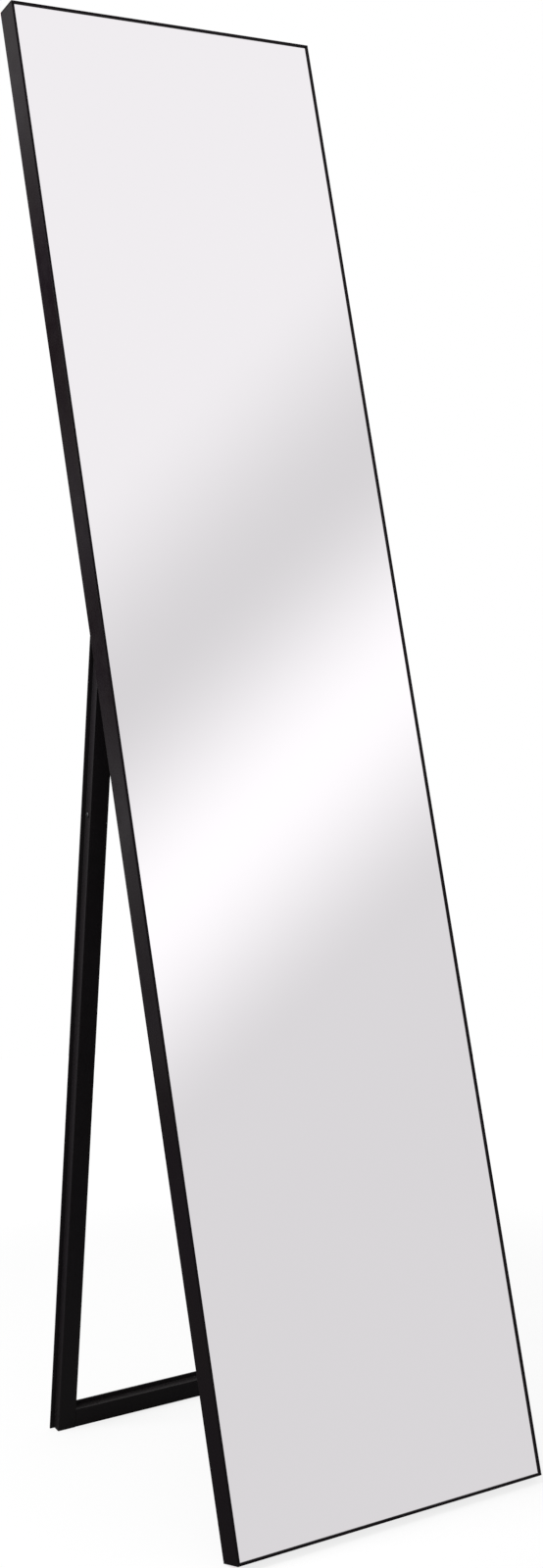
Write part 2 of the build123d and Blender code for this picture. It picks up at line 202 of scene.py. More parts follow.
def fastener(points, ways):
    """Where a screw sits: its seat, the way its head points, and its sizes."""
    axis = max(ways, key=lambda way: span(points, way)[1] - span(points, way)[0])
    middle = sum((way * (sum(span(points, way)) / 2) for way in ways), Vector())
    low, high = span(points, axis)

    def radius(point):
        off = point - middle
        return (off - axis * off.dot(axis)).length

    head_radius = max(radius(point) for point in points)
    head = [point for point in points if radius(point) > 0.95 * head_radius]
    head_low, head_high = span(head, axis)
    if head_low - low < high - head_high:
        axis = -axis
        low, high = span(points, axis)
        head_low, head_high = span(head, axis)
    tip = [point for point in points if point.dot(axis) < low + WELD_DISTANCE]
    seat = middle + axis * (head_low - middle.dot(axis))
    return {
        "seat": seat,
        "way": axis,
        "head_radius": head_radius,
        "head_height": high - head_low,
        "radius": max(radius(point) for point in tip),
        "length": head_low - low,
    }


def turned(outline, steps):
    """A closed shape from an outline of (radius, height) pairs, spun round the Z axis."""
    shell = bmesh.new()
    line = [shell.verts.new((radius, 0, height)) for radius, height in outline]
    edges = [shell.edges.new(pair) for pair in zip(line, line[1:])]
    bmesh.ops.spin(shell, geom=line + edges, cent=(0, 0, 0), axis=(0, 0, 1), dvec=(0, 0, 0),
                   angle=2 * math.pi, steps=steps, use_merge=True, use_duplicate=False)
    bmesh.ops.remove_doubles(shell, verts=shell.verts, dist=WELD_DISTANCE)
    bmesh.ops.recalc_face_normals(shell, faces=shell.faces)
    return shell


def temporary(shell, name):
    """A linked object from a bmesh, to cut with or to be cut."""
    mesh = bpy.data.meshes.new(name)
    shell.to_mesh(mesh)
    shell.free()
    made = bpy.data.objects.new(name, mesh)
    bpy.context.scene.collection.objects.link(made)
    return made


def carved(shell, cutters):
    """A mesh with each cutter taken out of it."""
    body = temporary(shell, "blank")
    tools = [temporary(cutter, "cutter") for cutter in cutters]
    for tool in tools:
        cut = body.modifiers.new("cut", "BOOLEAN")
        cut.operation = "DIFFERENCE"
        cut.solver = "EXACT"
        cut.object = tool
    seen = body.evaluated_get(bpy.context.evaluated_depsgraph_get())
    mesh = bpy.data.meshes.new_from_object(seen)
    for made in [body, *tools]:
        bpy.data.objects.remove(made)
    return mesh


def thread(radius, start, end, pitch):
    """The outline of a threaded length, from its lower end up."""
    root = radius * THREAD_ROOT
    turns = max(1, int((end - start) / pitch))
    step = (end - start) / turns
    outline = []
    for turn in range(turns):
        outline.append((root, start + step * turn))
        outline.append((radius, start + step * (turn + 0.5)))
    return outline + [(root, end)]


def cross_bar(length, width, depth, top):
    """One tapered bar of a cross recess, from above the head down into it."""
    shell = bmesh.new()
    bmesh.ops.create_cube(shell, size=1.0)
    for vertex in shell.verts:
        narrow = 1.0 if vertex.co.z > 0 else CROSS_TAPER
        vertex.co.x *= length * narrow
        vertex.co.y *= width * narrow
        vertex.co.z = top + (0.1 * depth if vertex.co.z > 0 else -depth)
    return shell


def cross_screw(place, pitch, steps):
    """A pan-head screw: a domed head with a cross recess, over a threaded shank."""
    head, height, shank, length = (place[key] for key in ("head_radius", "head_height", "radius", "length"))
    rim = HEAD_RIM * height
    outline = [(0, -length), (PAN_TIP * shank, -length)]
    outline += thread(shank, -length + TIP_CHAMFER, -NECK, pitch)
    outline += [(shank, -NECK / 2), (shank, 0), (head - RIM_UNDERCUT * height, 0), (head, rim)]
    for step in range(1, DOME_STEPS):
        angle = math.radians(90) * step / DOME_STEPS
        outline.append((head * math.cos(angle) ** DOME_WIDTH_POWER,
                        rim + (height - rim) * math.sin(angle) ** DOME_HEIGHT_POWER))
    outline.append((0, height))
    long_side, short_side, depth = CROSS_LENGTH * head, CROSS_WIDTH * head, CROSS_DEPTH * height
    bars = [cross_bar(long_side, short_side, depth, height), cross_bar(short_side, long_side, depth, height)]
    return carved(turned(outline, steps), bars)


def socket_screw(place, pitch, steps):
    """A pivot screw: a flat head with a hexagon socket, a smooth shank and a threaded end."""
    head, height, shank, length = (place[key] for key in ("head_radius", "head_height", "radius", "length"))
    edge = SOCKET_EDGE * height
    outline = [(0, -length), (PIVOT_TIP * shank, -length)]
    outline += thread(shank, -length + TIP_CHAMFER, -THREADED_SHARE * length, pitch)
    outline += [(shank, -SMOOTH_SHARE * length), (shank, 0), (head - edge / 2, 0), (head, edge / 2)]
    corner = EDGE_CORNER * edge
    outline += [(head, height - edge), (head - corner, height - corner), (head - edge, height)]
    outline.append((0, height))
    socket = bmesh.new()
    bmesh.ops.create_cone(socket, cap_ends=True, segments=6, radius1=SOCKET_RADIUS * head,
                          radius2=SOCKET_RADIUS * head, depth=1.2 * height)
    bmesh.ops.translate(socket, verts=socket.verts, vec=(0, 0, height + 0.1 * height))
    return carved(turned(outline, steps), [socket])


def fastened(name, node, ways, make, pitch, steps, material):
    """All the screws of a node as one piece, each turned a little further than the last."""
    shell = bmesh.new()
    shapes = {}
    for index, points in enumerate(islands(node)):
        place = fastener(points, ways)
        size = round(place["length"] / MILLIMETRE, 1)
        if size not in shapes:
            shapes[size] = make(place, pitch, steps)
        turn = Matrix.Rotation(SCREW_TURN * index, 4, "Z")
        upright = place["way"].to_track_quat("Z", "Y").to_matrix().to_4x4()
        copy = bmesh.new()
        copy.from_mesh(shapes[size])
        seated = Matrix.Translation(place["seat"]) @ upright @ turn
        bmesh.ops.transform(copy, matrix=seated, verts=copy.verts)
        mesh = bpy.data.meshes.new(name)
        copy.to_mesh(mesh)
        copy.free()
        shell.from_mesh(mesh)
        bpy.data.meshes.remove(mesh)
    for shape in shapes.values():
        bpy.data.meshes.remove(shape)
    return finished(name, shell, [material])


# Shader nodes

def add_node(tree, kind, inputs=None, **options):
    """Adds a node, sets its options, and sets or links its inputs."""
    made = tree.nodes.new(kind)
    for option, value in options.items():
        setattr(made, option, value)
    for key, value in (inputs or {}).items():
        if isinstance(value, bpy.types.NodeSocket):
            tree.links.new(value, made.inputs[key])
        else:
            made.inputs[key].default_value = value
    return made


def math_node(tree, operation, first, second=0.0):
    """The result of one sum on two values."""
    return add_node(tree, "ShaderNodeMath", {0: first, 1: second}, operation=operation).outputs[0]


def mix_color(tree, factor, first, second):
    """One colour mixed into another."""
    made = add_node(tree, "ShaderNodeMix", {0: factor, 6: first, 7: second}, data_type="RGBA")
    return made.outputs[2]


def ranged(tree, value, low, high, to_low, to_high):
    """A value taken from one range to another, eased at both ends."""
    made = add_node(tree, "ShaderNodeMapRange", {"Value": value, "From Min": low, "From Max": high,
                                                 "To Min": to_low, "To Max": to_high},
                    interpolation_type="SMOOTHSTEP")
    return made.outputs[0]


def noise(tree, vector, scale, detail=2.0):
    """Soft random values from 0 to 1."""
    made = add_node(tree, "ShaderNodeTexNoise", {"Vector": vector, "Scale": scale, "Detail": detail})
    return made.outputs[0]


def rgba(color):
    """A colour with full alpha."""
    return (*color, 1.0)


def effect(name, inputs, outputs):
    """A new node group with named inputs and outputs, and its input and output nodes."""
    group = bpy.data.node_groups.new(name, "ShaderNodeTree")
    for socket_name, kind, default in inputs:
        socket = group.interface.new_socket(socket_name, in_out="INPUT", socket_type=kind)
        if default is not None:
            socket.default_value = default
    for socket_name, kind in outputs:
        group.interface.new_socket(socket_name, in_out="OUTPUT", socket_type=kind)
    return group, group.nodes.new("NodeGroupInput"), group.nodes.new("NodeGroupOutput")


def use_effect(tree, group, inputs):
    """Places a shared effect in a material."""
    return add_node(tree, "ShaderNodeGroup", inputs, node_tree=group).outputs


FLOAT = "NodeSocketFloat"
COLOR = "NodeSocketColor"
VECTOR = "NodeSocketVector"


def grain_effect():
    """Fine grain: a height for the bump, and a roughness that follows it."""
    group, given, result = effect(
        "surface_grain",
        [("Vector", VECTOR, None), ("Size", FLOAT, 900.0),
         ("Smoothest", FLOAT, 0.3), ("Roughest", FLOAT, 0.4)],
        [("Height", FLOAT), ("Roughness", FLOAT)])
    fine = noise(group, given.outputs["Vector"], given.outputs["Size"], 3.0)
    broad = noise(group, given.outputs["Vector"], math_node(group, "MULTIPLY", given.outputs["Size"], 0.05))
    mixed = math_node(group, "ADD", math_node(group, "MULTIPLY", fine, 0.4),
                      math_node(group, "MULTIPLY", broad, 0.6))
    rough = ranged(group, mixed, 0.35, 0.65, given.outputs["Smoothest"], given.outputs["Roughest"])
    group.links.new(fine, result.inputs["Height"])
    group.links.new(rough, result.inputs["Roughness"])
    return group


def tone_effect():
    """Two tones of one finish, in broad patches and in streaks along the piece."""
    group, given, result = effect(
        "two_tones",
        [("Vector", VECTOR, None), ("First", COLOR, None), ("Second", COLOR, None),
         ("Patch Size", FLOAT, 5.0), ("Streaks", FLOAT, 0.3)],
        [("Color", COLOR), ("Streak", FLOAT)])
    patches = ranged(group, noise(group, given.outputs["Vector"], given.outputs["Patch Size"], 3.0),
                     0.38, 0.64, 0.0, 1.0)
    stretched = add_node(group, "ShaderNodeMapping",
                         {"Vector": given.outputs["Vector"], "Scale": (330.0, 330.0, 7.0)}).outputs[0]
    streaks = ranged(group, noise(group, stretched, 1.0, 3.0), 0.35, 0.7, 0.0, 1.0)
    amount = math_node(group, "ADD", math_node(group, "MULTIPLY", streaks, given.outputs["Streaks"]),
                       math_node(group, "MULTIPLY", patches,
                                 math_node(group, "SUBTRACT", 1.0, given.outputs["Streaks"])))
    group.links.new(mix_color(group, amount, given.outputs["First"], given.outputs["Second"]),
                    result.inputs["Color"])
    group.links.new(streaks, result.inputs["Streak"])
    return group


def wear_effect():
    """Wear on the marked edges: the finish thins there in short broken stretches."""
    group, given, result = effect(
        "edge_wear",
        [("Vector", VECTOR, None), ("Color", COLOR, None), ("Worn", COLOR, None),
         ("Roughness", FLOAT, 0.4), ("Amount", FLOAT, 0.5)],
        [("Color", COLOR), ("Roughness", FLOAT)])
    marked = add_node(group, "ShaderNodeAttribute", attribute_name=EDGE_MARK).outputs["Fac"]
    broken = ranged(group, noise(group, given.outputs["Vector"], 60.0, 4.0), 0.42, 0.7, 0.0, 1.0)
    worn = math_node(group, "MULTIPLY", marked, broken)
    amount = math_node(group, "MULTIPLY", worn, given.outputs["Amount"])
    group.links.new(mix_color(group, amount, given.outputs["Color"], given.outputs["Worn"]),
                    result.inputs["Color"])
    smoother = math_node(group, "MULTIPLY", amount, 0.12)
    group.links.new(math_node(group, "SUBTRACT", given.outputs["Roughness"], smoother),
                    result.inputs["Roughness"])
    return group


def dust_effect():
    """A little dust on faces that look upwards."""
    group, given, result = effect(
        "settled_dust",
        [("Vector", VECTOR, None), ("Color", COLOR, None), ("Dust", COLOR, None),
         ("Roughness", FLOAT, 0.4), ("Amount", FLOAT, 0.2)],
        [("Color", COLOR), ("Roughness", FLOAT)])
    normal = add_node(group, "ShaderNodeNewGeometry").outputs["Normal"]
    height = add_node(group, "ShaderNodeSeparateXYZ", {0: normal}).outputs["Z"]
    upward = ranged(group, height, 0.5, 0.95, 0.0, 1.0)
    specks = ranged(group, noise(group, given.outputs["Vector"], 420.0, 4.0), 0.4, 0.75, 0.25, 1.0)
    settled = math_node(group, "MULTIPLY", upward, specks)
    amount = math_node(group, "MULTIPLY", settled, given.outputs["Amount"])
    group.links.new(mix_color(group, amount, given.outputs["Color"], given.outputs["Dust"]),
                    result.inputs["Color"])
    rougher = math_node(group, "MULTIPLY", amount, 0.4)
    group.links.new(math_node(group, "ADD", given.outputs["Roughness"], rougher), result.inputs["Roughness"])
    return group


def fibre_effect():
    """Short pressed fibres in every direction, with darker and paler ones among them."""
    group, given, result = effect(
        "pressed_fibres",
        [("Vector", VECTOR, None), ("Size", FLOAT, 300.0)],
        [("Mask", FLOAT), ("Height", FLOAT)])
    found = []
    for turn in (0.0, 1.1, 2.2):
        turned_vector = add_node(group, "ShaderNodeMapping",
                                 {"Vector": given.outputs["Vector"], "Rotation": (0.0, turn, 0.0),
                                  "Scale": (1.0, 1.0, 0.16)}).outputs[0]
        found.append(noise(group, turned_vector, given.outputs["Size"], 3.0))
    longest = math_node(group, "MAXIMUM", math_node(group, "MAXIMUM", found[0], found[1]), found[2])
    group.links.new(ranged(group, longest, 0.5, 0.72, 0.0, 1.0), result.inputs["Mask"])
    group.links.new(longest, result.inputs["Height"])
    return group


# Materials

def new_material(name, lean):
    """A material, its shader, and object coordinates turned upright with the piece."""
    material = bpy.data.materials.new(name)
    material.use_nodes = True
    tree = material.node_tree
    shader = tree.nodes["Principled BSDF"]
    coordinates = add_node(tree, "ShaderNodeTexCoord").outputs["Object"]
    upright = add_node(tree, "ShaderNodeMapping", {"Vector": coordinates, "Rotation": (lean, 0.0, 0.0)})
    return material, tree, shader, upright.outputs[0]


def add_bump(tree, shader, height, depth, strength):
    """Raises a height pattern on the shader, its depth in metres."""
    bump = add_node(tree, "ShaderNodeBump", {"Height": height, "Strength": strength, "Distance": depth})
    tree.links.new(bump.outputs[0], shader.inputs["Normal"])


def coated_metal(name, effects, look, coat, lean, along_x):
    """Satin black powder coat, a little worn at the edges and dusty on top."""
    tone, second_tone, roughness, shine = coat
    material, tree, shader, vector = new_material(name, lean)
    if along_x:
        vector = add_node(tree, "ShaderNodeMapping",
                          {"Vector": vector, "Rotation": (0.0, math.radians(90), 0.0)}).outputs[0]
    tones = use_effect(tree, effects["tones"], {
        "Vector": vector, "First": rgba(tone), "Second": rgba(second_tone),
        "Patch Size": 5.0, "Streaks": 0.35})
    grain = use_effect(tree, effects["grain"], {
        "Vector": vector, "Size": 1100.0, "Smoothest": roughness - 0.03, "Roughest": roughness + 0.05})
    worn = use_effect(tree, effects["wear"], {
        "Vector": vector, "Color": tones["Color"], "Worn": rgba(look.worn_color),
        "Roughness": grain["Roughness"], "Amount": 0.35})
    dusty = use_effect(tree, effects["dust"], {
        "Vector": vector, "Color": worn["Color"], "Dust": rgba(look.dust_color),
        "Roughness": worn["Roughness"], "Amount": 0.03})
    tree.links.new(dusty["Color"], shader.inputs["Base Color"])
    tree.links.new(dusty["Roughness"], shader.inputs["Roughness"])
    shader.inputs["Specular IOR Level"].default_value = shine
    add_bump(tree, shader, grain["Height"], 0.03 * MILLIMETRE, 0.5)
    return material


def silvered_face(look, effects):
    """Silver seen through clear polished glass, with the faintest unevenness in its polish."""
    material, tree, shader, vector = new_material("silvered_face", mirror_lean)
    tones = use_effect(tree, effects["tones"], {
        "Vector": vector, "First": rgba(look.glass_color), "Second": rgba(look.glass_second_color),
        "Patch Size": 2.0, "Streaks": 0.0})
    tree.links.new(tones["Color"], shader.inputs["Base Color"])
    shader.inputs["Metallic"].default_value = 1.0
    shader.inputs["Roughness"].default_value = 0.0
    return material


def ground_edge(look, effects):
    """The glass's ground edge: pale grey-green and matt."""
    material, tree, shader, vector = new_material("ground_glass_edge", mirror_lean)
    tones = use_effect(tree, effects["tones"], {
        "Vector": vector, "First": (0.42, 0.55, 0.50, 1.0), "Second": (0.30, 0.42, 0.38, 1.0),
        "Patch Size": 40.0, "Streaks": 0.5})
    grain = use_effect(tree, effects["grain"], {
        "Vector": vector, "Size": 2500.0, "Smoothest": 0.35, "Roughest": 0.55})
    tree.links.new(tones["Color"], shader.inputs["Base Color"])
    tree.links.new(grain["Roughness"], shader.inputs["Roughness"])
    add_bump(tree, shader, grain["Height"], 0.02 * MILLIMETRE, 0.6)
    return material


def plain_finish(name, effects, first, second, rough, grain_size, depth, metallic=0.0, worn=None):
    """A finish of two close tones with fine grain, and with worn edges where a colour is given."""
    material, tree, shader, vector = new_material(name, mirror_lean)
    tones = use_effect(tree, effects["tones"], {
        "Vector": vector, "First": rgba(first), "Second": rgba(second), "Patch Size": 30.0, "Streaks": 0.2})
    grain = use_effect(tree, effects["grain"], {
        "Vector": vector, "Size": grain_size, "Smoothest": rough - 0.06, "Roughest": rough + 0.06})
    last = {"Color": tones["Color"], "Roughness": grain["Roughness"]}
    if worn:
        last = use_effect(tree, effects["wear"], {
            "Vector": vector, "Color": tones["Color"], "Worn": rgba(worn),
            "Roughness": grain["Roughness"], "Amount": 0.8})
    tree.links.new(last["Color"], shader.inputs["Base Color"])
    tree.links.new(last["Roughness"], shader.inputs["Roughness"])
    shader.inputs["Metallic"].default_value = metallic
    add_bump(tree, shader, grain["Height"], depth * MILLIMETRE, 0.6)
    return material


def fibreboard(look, effects):
    """Black-faced fibreboard: matt, with pressed fibres and faint clouding."""
    material, tree, shader, vector = new_material("black_fibreboard", mirror_lean)
    tones = use_effect(tree, effects["tones"], {
        "Vector": vector, "First": rgba(look.board_color), "Second": rgba(look.board_second_color),
        "Patch Size": 7.0, "Streaks": 0.1})
    fibres = use_effect(tree, effects["fibres"], {"Vector": vector, "Size": 420.0})
    flecked = mix_color(tree, math_node(tree, "MULTIPLY", fibres["Mask"], 0.35), tones["Color"],
                        rgba(look.fibre_color))
    grain = use_effect(tree, effects["grain"], {
        "Vector": vector, "Size": 700.0, "Smoothest": 0.62, "Roughest": 0.78})
    tree.links.new(flecked, shader.inputs["Base Color"])
    tree.links.new(grain["Roughness"], shader.inputs["Roughness"])
    shader.inputs["Specular IOR Level"].default_value = 0.35
    add_bump(tree, shader, fibres["Height"], 0.05 * MILLIMETRE, 0.6)
    return material


def shared_effects():
    """The node groups that more than one finish uses, built once."""
    made = {
        "surface_grain": grain_effect, "two_tones": tone_effect, "edge_wear": wear_effect,
        "settled_dust": dust_effect, "pressed_fibres": fibre_effect,
    }
    groups = {name: bpy.data.node_groups.get(name) or make() for name, make in made.items()}
    return {"grain": groups["surface_grain"], "tones": groups["two_tones"], "wear": groups["edge_wear"],
            "dust": groups["settled_dust"], "fibres": groups["pressed_fibres"]}


def finish_named(name, look):
    """A finish by its name, made the first time that it is asked for."""
    found = bpy.data.materials.get(name)
    if found:
        return found
    effects = shared_effects()
    frame_coat = (look.frame_tone, look.frame_second_tone, look.frame_roughness, look.frame_shine)
    stand_coat = (look.stand_tone, look.stand_second_tone, look.stand_roughness, look.stand_shine)
    coats = {
        "frame_coat_upright": (frame_coat, mirror_lean, False),
        "frame_coat_across": (frame_coat, mirror_lean, True),
        "stand_coat_upright": (stand_coat, stand_lean, False),
        "stand_coat_across": (stand_coat, stand_lean, True),
    }
    special = {
        "silvered_face": silvered_face,
        "ground_glass_edge": ground_edge,
        "black_fibreboard": fibreboard,
    }

    # Two tones, roughness, size of the grain and its depth in millimetres, and for the metals
    # also how metallic they are and their colour where they are worn
    plain = {
        "silver_backing_paint": ((0.33, 0.34, 0.36), (0.28, 0.29, 0.31), 0.5, 500.0, 0.02),
        "backing_film": (look.film_color, (0.52, 0.56, 0.58), 0.3, 300.0, 0.02),
        "foam_tape": (look.tape_color, (0.72, 0.71, 0.68), 0.75, 1500.0, 0.06),
        "edge_rubber": (look.rubber_color, (0.022, 0.022, 0.022), 0.7, 1200.0, 0.04),
        "washer_nylon": (look.nylon_color, (0.66, 0.64, 0.58), 0.5, 900.0, 0.02),
        "bare_casting": (look.cast_color, (0.33, 0.33, 0.34), 0.46, 800.0, 0.06, 1.0, (0.62, 0.62, 0.62)),
        "black_sheet_steel": ((0.02, 0.02, 0.021), (0.014, 0.014, 0.015), 0.38, 1000.0, 0.02,
                              0.0, (0.12, 0.115, 0.11)),
        "black_oxide_steel": (look.steel_color, (0.035, 0.034, 0.036), 0.36, 2200.0, 0.015,
                              0.7, (0.22, 0.21, 0.20)),
    }
    if name in coats:
        return coated_metal(name, effects, look, *coats[name])
    if name in special:
        return special[name](look, effects)
    return plain_finish(name, effects, *plain[name])


# Sizes and colours that can be changed

def color_setting(name, description, default):
    """A colour property."""
    return bpy.props.FloatVectorProperty(name=name, description=description, subtype="COLOR", size=3,
                                         min=0.0, max=1.0, default=default)


def length_setting(name, description, default, highest=0.01):
    """A length property in metres."""
    return bpy.props.FloatProperty(name=name, description=description, unit="LENGTH", min=0.0, max=highest,
                                   precision=5, default=default)


def share_setting(name, description, default):
    """A property from nothing to everything."""
    return bpy.props.FloatProperty(name=name, description=description, subtype="FACTOR",
                                   min=0.0, max=1.0, default=default)


class MirrorFinishes(bpy.types.PropertyGroup):
    """Colours and gloss of the mirror's finishes."""

    frame_tone: color_setting("Frame coat", "Main tone of the frame's coat", (0.0064, 0.0039, 0.0061))
    frame_second_tone: color_setting("Frame, second tone", "Warmer tone in it", (0.0072, 0.0048, 0.0053))
    frame_roughness: share_setting("Frame roughness", "How matt the frame's coat is", 0.19)
    frame_shine: share_setting("Frame shine", "How strongly the frame's coat reflects", 0.058)
    stand_tone: color_setting("Stand coat", "Main tone of the stand's coat", (0.0144, 0.0119, 0.0142))
    stand_second_tone: color_setting("Stand, second tone", "Warmer tone in it", (0.0149, 0.0126, 0.0133))
    stand_roughness: share_setting("Stand roughness", "How matt the stand's coat is", 0.38)
    stand_shine: share_setting("Stand shine", "How strongly the stand's coat reflects", 0.200)
    worn_color: color_setting("Worn edge", "Coat where it has thinned at an edge", (0.045, 0.042, 0.044))
    dust_color: color_setting("Dust", "Dust that lies on upward faces", (0.30, 0.29, 0.28))
    glass_color: color_setting("Glass", "What the silvered glass gives back", (0.930, 0.904, 0.930))
    glass_second_color: color_setting("Glass, second tone", "Its palest parts", (0.933, 0.907, 0.932))
    film_color: color_setting("Film", "Film on the back of the glass", (0.60, 0.64, 0.66))
    tape_color: color_setting("Tape", "Foam tape between glass and board", (0.80, 0.80, 0.78))
    rubber_color: color_setting("Rubber", "Pads at the glass edge", (0.030, 0.030, 0.030))
    board_color: color_setting("Board", "Face of the back board", (0.022, 0.020, 0.019))
    board_second_color: color_setting("Board, second tone", "Clouding in the board", (0.030, 0.028, 0.027))
    fibre_color: color_setting("Board fibres", "The palest fibres in the board", (0.060, 0.054, 0.048))
    cast_color: color_setting("Casting", "Connectors, hinge blocks and keys", (0.42, 0.42, 0.43))
    steel_color: color_setting("Screws", "Black oxide on the screws", (0.050, 0.050, 0.052))
    nylon_color: color_setting("Nylon", "Washers at the hinges", (0.75, 0.74, 0.70))


class MirrorEdges(bpy.types.PropertyGroup):
    """How far each kind of piece is rounded at its edges, and how fine its screws are."""

    rail_edge: length_setting("Rail edge", "Rounding of the frame rails", 0.25 * MILLIMETRE)
    stand_edge: length_setting("Stand edge", "Rounding of the legs and the crossbar", 0.15 * MILLIMETRE)
    sheet_edge: length_setting("Sheet edge", "Rounding of the bent steel brackets", 0.2 * MILLIMETRE)
    cast_edge: length_setting("Cast edge", "Rounding of the cast pieces", 0.5 * MILLIMETRE)
    glass_edge: length_setting("Glass arris", "Ground edge of the glass", 0.4 * MILLIMETRE)
    board_edge: length_setting("Board edge", "Softening of the board's edges", 0.3 * MILLIMETRE)
    soft_edge: length_setting("Film and tape edge", "Rounding of film, tape and pads", 0.08 * MILLIMETRE)
    small_pitch: length_setting("Small screw pitch", "Thread pitch of the pan-head screws", 0.8 * MILLIMETRE)
    pivot_pitch: length_setting("Pivot screw pitch", "Thread pitch of the pivot screws", 0.8 * MILLIMETRE)
    screw_steps: bpy.props.IntProperty(name="Screw steps", description="Faces round a screw", min=12, max=64,
                                       default=32)


class MirrorStage(bpy.types.PropertyGroup):
    """Camera, floor and light."""

    camera_place: bpy.props.FloatVectorProperty(
        name="Camera", description="Where the camera stands", subtype="TRANSLATION", size=3,
        default=(-1.11649, -1.74869, 0.90900))
    azimuth: bpy.props.FloatProperty(
        name="Azimuth", description="Turn of the view round the vertical", subtype="ANGLE",
        default=math.radians(-32.604))
    elevation: bpy.props.FloatProperty(
        name="Elevation", description="How far the view looks down", subtype="ANGLE",
        default=math.radians(6.282))
    lens: bpy.props.FloatProperty(
        name="Lens", description="Focal length", unit="CAMERA", min=10.0, max=300.0, default=48.419)
    shift: bpy.props.FloatVectorProperty(
        name="Shift", description="Framing, as a share of the long side", size=2, precision=5,
        default=(0.00038, -0.00106))
    floor_radius: length_setting("Floor radius", "How far the floor reaches", 1.7, 50.0)
    floor_color: color_setting("Floor", "The floor's own colour", (0.25, 0.25, 0.25))
    floor_lift: share_setting("Floor lift", "What the camera sees on top of the floor's own shade", 0.80)
    floor_glow: share_setting("Floor glow", "How pale the glass finds the floor in front of it", 0.69)
    shadow_reach: length_setting("Shadow reach", "How far out the floor still shows shadow", 1.5, 10.0)
    lamp_place: bpy.props.FloatVectorProperty(
        name="Lamp", description="Where the soft lamp hangs", subtype="TRANSLATION", size=3,
        default=(-1.35, 0.12, 1.50))
    lamp_size: length_setting("Lamp size", "How wide the soft lamp is", 0.9, 5.0)
    lamp_power: bpy.props.FloatProperty(
        name="Lamp power", description="How strong the soft lamp is", unit="POWER", min=0.0, max=200.0,
        default=20.0)


# Operators

class MirrorOperator:
    """What the operators share."""

    bl_options = {"REGISTER", "UNDO"}

    @staticmethod
    def edges(context):
        """How far each kind of piece is rounded."""
        return context.scene.standing_mirror_edges

    @staticmethod
    def finish(context, name):
        """A finish by its name, in the colours that are set."""
        return finish_named(name, context.scene.standing_mirror_finishes)


class MIRROR_OT_frame_rails(MirrorOperator, bpy.types.Operator):
    """Coats the four frame rails and rounds their edges"""

    bl_idname = "mirror.frame_rails"
    bl_label = "Frame rails"

    def execute(self, context):
        rails = {
            "frame_left_rail": ("left_rail", "frame_coat_upright"),
            "frame_right_rail": ("right_rail", "frame_coat_upright"),
            "frame_top_rail": ("top_rail", "frame_coat_across"),
            "frame_bottom_rail": ("bottom_rail", "frame_coat_across"),
        }
        for node, (name, coat) in rails.items():
            shell = soften(merged_copy(node), self.edges(context).rail_edge, 3)
            piece = finished(name, shell, [self.finish(context, coat)])
            fitted(piece, "mirror", "frame_coating", node)
        return {"FINISHED"}


class MIRROR_OT_glass(MirrorOperator, bpy.types.Operator):
    """Makes the silvered glass, with its ground edges and painted back"""

    bl_idname = "mirror.glass"
    bl_label = "Glass"

    def execute(self, context):
        shell = plate("mirror_glass", mirror_up, mirror_back)
        for face in shell.faces:
            facing = round(face.normal.dot(mirror_back))
            face.material_index = {-1: SILVER, 0: GROUND, 1: PAINTED}[facing]
        bmesh.ops.bevel(shell, geom=shell.edges[:], offset=self.edges(context).glass_edge,
                        offset_type="OFFSET", segments=2, profile=0.5, affect="EDGES", material=GROUND)
        finishes = [self.finish(context, name)
                    for name in ("silvered_face", "ground_glass_edge", "silver_backing_paint")]
        fitted(finished("silvered_glass", shell, finishes), "mirror", "mirror", "mirror_glass")
        return {"FINISHED"}


class MIRROR_OT_backing(MirrorOperator, bpy.types.Operator):
    """Makes what lies behind the glass and beside it: film, tapes, board and pads"""

    bl_idname = "mirror.backing"
    bl_label = "Film, tapes, board and pads"

    def execute(self, context):
        edges = self.edges(context)
        layers = {
            "shatter_film": ("backing_film_sheet", "backing_film", edges.soft_edge, "film"),
            "bonding_tapes": ("foam_tapes", "foam_tape", edges.soft_edge, "tape"),
            "back_board": ("backing_board", "black_fibreboard", edges.board_edge, "board"),
            "glass_edge_pads": ("edge_pads", "edge_rubber", edges.soft_edge, "rubber_pad"),
        }
        for node, (name, finish, edge, slot) in layers.items():
            shell = soften(merged_copy(node), edge)
            piece = finished(name, shell, [self.finish(context, finish)])
            fitted(piece, "mirror", slot, node)
        return {"FINISHED"}


class MIRROR_OT_corner_connectors(MirrorOperator, bpy.types.Operator):
    """Makes the four cast connectors in the corners of the frame"""

    bl_idname = "mirror.corner_connectors"
    bl_label = "Corner connectors"

    def execute(self, context):
        for end in ("top", "bottom"):
            for side in ("left", "right"):
                node = f"corner_connector_{end}_{side}"
                shell = soften(merged_copy(node), self.edges(context).cast_edge)
                piece = finished(f"{end}_{side}_connector", shell, [self.finish(context, "bare_casting")])
                fitted(piece, "mirror", "die_cast", node)
        return {"FINISHED"}


